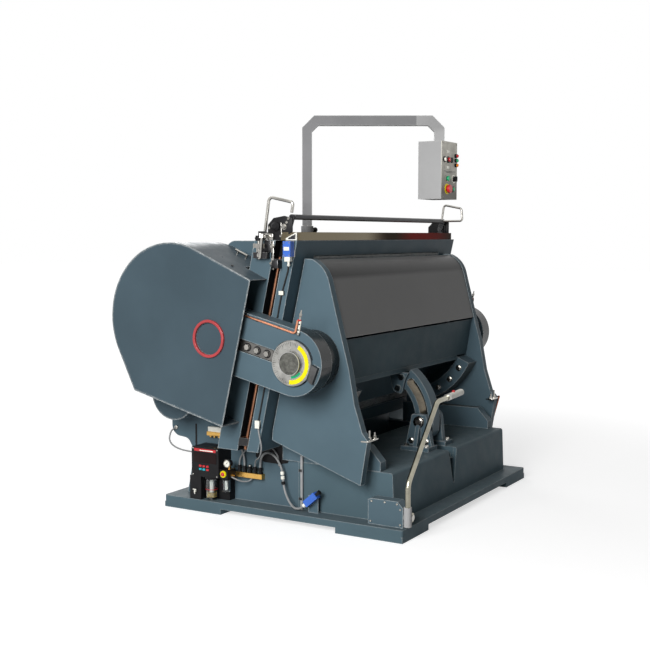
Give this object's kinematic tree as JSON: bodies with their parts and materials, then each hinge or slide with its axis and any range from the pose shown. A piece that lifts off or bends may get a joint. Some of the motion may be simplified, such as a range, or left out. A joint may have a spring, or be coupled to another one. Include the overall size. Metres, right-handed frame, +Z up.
{
  "type": "platen die cutting press",
  "caption": "Free-standing clamshell platen press for die cutting and creasing sheets, with draw bars, gear covers, safety bar and a swivelling control box.",
  "frame": {"origin": "middle of the machine's footprint on the floor", "axes": "+X to the operator's right along the longest extent, +Y away from the operator, +Z up"},
  "size_m": [2.224, 1.6407, 2.12],
  "materials": {
    "machine_paint": "semi-gloss slate blue-grey",
    "cover_paint": "semi-gloss grey sheet metal",
    "platen_cover_paint": "glossy warm grey sheet metal",
    "cast_paint": "painted casting",
    "machined_steel": "ground and machined",
    "polished_steel": "polished",
    "dark_steel": "blackened",
    "red_paint": "gloss red",
    "black_plastic": "moulded black",
    "red_plastic": "moulded red",
    "green_plastic": "moulded green",
    "blue_plastic": "moulded blue",
    "clear_plastic": "clear",
    "brass": "turned",
    "rubber": "matt",
    "hose_grey": "matt",
    "bronze": "bushing bronze",
    "box_paint": "light grey enamel",
    "ivory_plastic": "moulded ivory"
  },
  "bodies": {
    "frame": {"base": "machine_paint", "frame_walls": "machine_paint", "shaft_bearings": "bronze", "bed": "cast_paint", "bed_top_strip": "polished_steel", "die_chase": "machined_steel", "tie_beams": "machine_paint", "rocker_rails": "machine_paint", "roller_bracket": "cast_paint", "gear_covers": "cover_paint", "inspection_rings": "red_paint", "motor": "machine_paint", "drive_belt": "rubber", "bed_brackets": "dark_steel", "pull_rods": "dark_steel", "top_switch": "blue_plastic", "switch_cable": "black_plastic", "low_switch": "blue_plastic", "lube_pump": "black_plastic", "lube_reservoir": "clear_plastic", "oil_manifold": "brass", "hose_from_cover": "hose_grey", "hose_to_switch": "hose_grey", "lever_box": "machine_paint", "arm_socket": "machine_paint"},
    "platen": {"platen_plate": "cast_paint", "platen_side_plates": "machine_paint", "platen_cover": "platen_cover_paint", "platen_lower_panel": "cast_paint", "platen_crossbeam": "cast_paint", "cutting_plate": "polished_steel", "rocker_segments": "cast_paint", "trunnions": "machine_paint", "guide_arm": "machined_steel", "guide_arm_bracket": "cast_paint"},
    "left_bar": {"left_draw_bar": "machine_paint"},
    "right_bar": {"right_draw_bar": "machine_paint"},
    "left_dial": {"left_dial": "polished_steel"},
    "right_dial": {"right_dial": "polished_steel"},
    "crank_shaft": {"main_shaft": "machined_steel", "bull_gears": "machined_steel"},
    "pinion_shaft": {"drive_shaft": "machined_steel", "flywheel": "cast_paint"},
    "motor_rotor": {"motor_pulley": "machined_steel"},
    "guide_roller": {"guide_roller": "machined_steel"},
    "safety_bar": {"safety_bar": "dark_steel"},
    "chase_handle": {"chase_handle": "polished_steel"},
    "left_clamp": {"left_clamp_knob": "black_plastic"},
    "right_clamp": {"right_clamp_knob": "black_plastic"},
    "switch_plunger": {"top_switch_plunger": "machined_steel"},
    "lever": {"clutch_lever": "polished_steel", "lever_grip": "ivory_plastic"},
    "thumb_button": {"lever_button": "red_plastic"},
    "control_arm": {"arm_post": "machine_paint", "arm_drop": "machine_paint"},
    "control_box": {"control_box": "box_paint", "control_panel": "box_paint"},
    "start_button": {"start_button": "green_plastic"},
    "estop_button": {"estop_button": "red_plastic"},
    "mode_selector": {"mode_selector": "black_plastic"}
  },
  "joints": [
    {"name": "platen_rock", "type": "hinge", "parent": "frame", "child": "platen", "pos_m": [0, -0.2175, 0.463], "axis": [1, 0, 0], "range_deg": [0, 40]},
    {"name": "left_bar_swing", "type": "hinge", "parent": "platen", "child": "left_bar", "pos_m": [-1.01, -0.2965, 0.882], "axis": [1, 0, 0], "range_deg": [-35.67, 0.5]},
    {"name": "right_bar_swing", "type": "hinge", "parent": "platen", "child": "right_bar", "pos_m": [1.01, -0.2965, 0.882], "axis": [1, 0, 0], "range_deg": [-35.67, 0.5]},
    {"name": "crank_turn", "type": "hinge", "parent": "frame", "child": "crank_shaft", "pos_m": [0, 0.42305, 1.05475], "axis": [1, 0, 0], "range_deg": [-1, 185.83]},
    {"name": "pinion_turn", "type": "hinge", "parent": "frame", "child": "pinion_shaft", "pos_m": [0, 0.57081, 0.6488], "axis": [1, 0, 0], "range_deg": [-925.17, 1]},
    {"name": "motor_turn", "type": "hinge", "parent": "frame", "child": "motor_rotor", "pos_m": [0, 0.2755, 0.235], "axis": [1, 0, 0], "range_deg": [-3081.56, 1]},
    {"name": "left_dial_turn", "type": "hinge", "parent": "left_bar", "child": "left_dial", "pos_m": [-1.07, -0.2965, 0.882], "axis": [1, 0, 0], "range_deg": [-90, 90]},
    {"name": "right_dial_turn", "type": "hinge", "parent": "right_bar", "child": "right_dial", "pos_m": [1.07, -0.2965, 0.882], "axis": [1, 0, 0], "range_deg": [-90, 90]},
    {"name": "guide_roller_spin", "type": "hinge", "parent": "frame", "child": "guide_roller", "pos_m": [0, -0.52935, 0.4728], "axis": [1, 0, 0], "continuous": true},
    {"name": "safety_bar_swing", "type": "hinge", "parent": "frame", "child": "safety_bar", "pos_m": [0, -0.1745, 1.545], "axis": [1, 0, 0], "range_deg": [-10, 10], "stiffness_Nm_per_rad": 120},
    {"name": "chase_handle_swing", "type": "hinge", "parent": "frame", "child": "chase_handle", "pos_m": [-0.905, -0.0325, 1.506], "axis": [-1, 0, 0], "range_deg": [0, 45]},
    {"name": "left_clamp_turn", "type": "hinge", "parent": "frame", "child": "left_clamp", "pos_m": [-0.968, -0.0395, 1.43], "axis": [0, 0, 1], "range_deg": [-180, 180]},
    {"name": "right_clamp_turn", "type": "hinge", "parent": "frame", "child": "right_clamp", "pos_m": [0.968, -0.0395, 1.43], "axis": [0, 0, 1], "range_deg": [-180, 180]},
    {"name": "switch_press", "type": "slide", "parent": "frame", "child": "switch_plunger", "axis": [0, 0, 1], "range_m": [0, 0.004], "stiffness_N_per_m": 400},
    {"name": "lever_swing", "type": "hinge", "parent": "frame", "child": "lever", "pos_m": [-0.78, -0.8005, 0.12], "axis": [0, 1, 0], "range_deg": [0, 15]},
    {"name": "thumb_press", "type": "slide", "parent": "lever", "child": "thumb_button", "axis": [-0.9992, 0, -0.0389], "range_m": [0, 0.005], "stiffness_N_per_m": 400},
    {"name": "control_arm_swivel", "type": "hinge", "parent": "frame", "child": "control_arm", "pos_m": [-0.65, -0.1295, 1.56], "axis": [0, 0, 1], "range_deg": [-30, 45]},
    {"name": "control_box_swivel", "type": "hinge", "parent": "control_arm", "child": "control_box", "pos_m": [-0.29977, -0.71936, 1.985], "axis": [0, 0, 1], "range_deg": [-60, 60]},
    {"name": "start_press", "type": "slide", "parent": "control_box", "child": "start_button", "axis": [0, 1, 0], "range_m": [0, 0.004], "stiffness_N_per_m": 400},
    {"name": "estop_press", "type": "slide", "parent": "control_box", "child": "estop_button", "axis": [0, 1, 0], "range_m": [0, 0.006], "stiffness_N_per_m": 400},
    {"name": "mode_turn", "type": "hinge", "parent": "control_box", "child": "mode_selector", "pos_m": [-0.24777, -0.77936, 1.796], "axis": [0, 1, 0], "range_deg": [-45, 45]}
  ],
  "couplings": [
    {"joint": "left_bar_swing", "follows": "platen_rock", "ratio": -0.87916},
    {"joint": "right_bar_swing", "follows": "platen_rock", "ratio": -0.87916},
    {"joint": "crank_turn", "follows": "platen_rock", "ratio": 4.6208},
    {"joint": "pinion_turn", "follows": "platen_rock", "ratio": -23.104},
    {"joint": "motor_turn", "follows": "platen_rock", "ratio": -77.014}
  ]
}
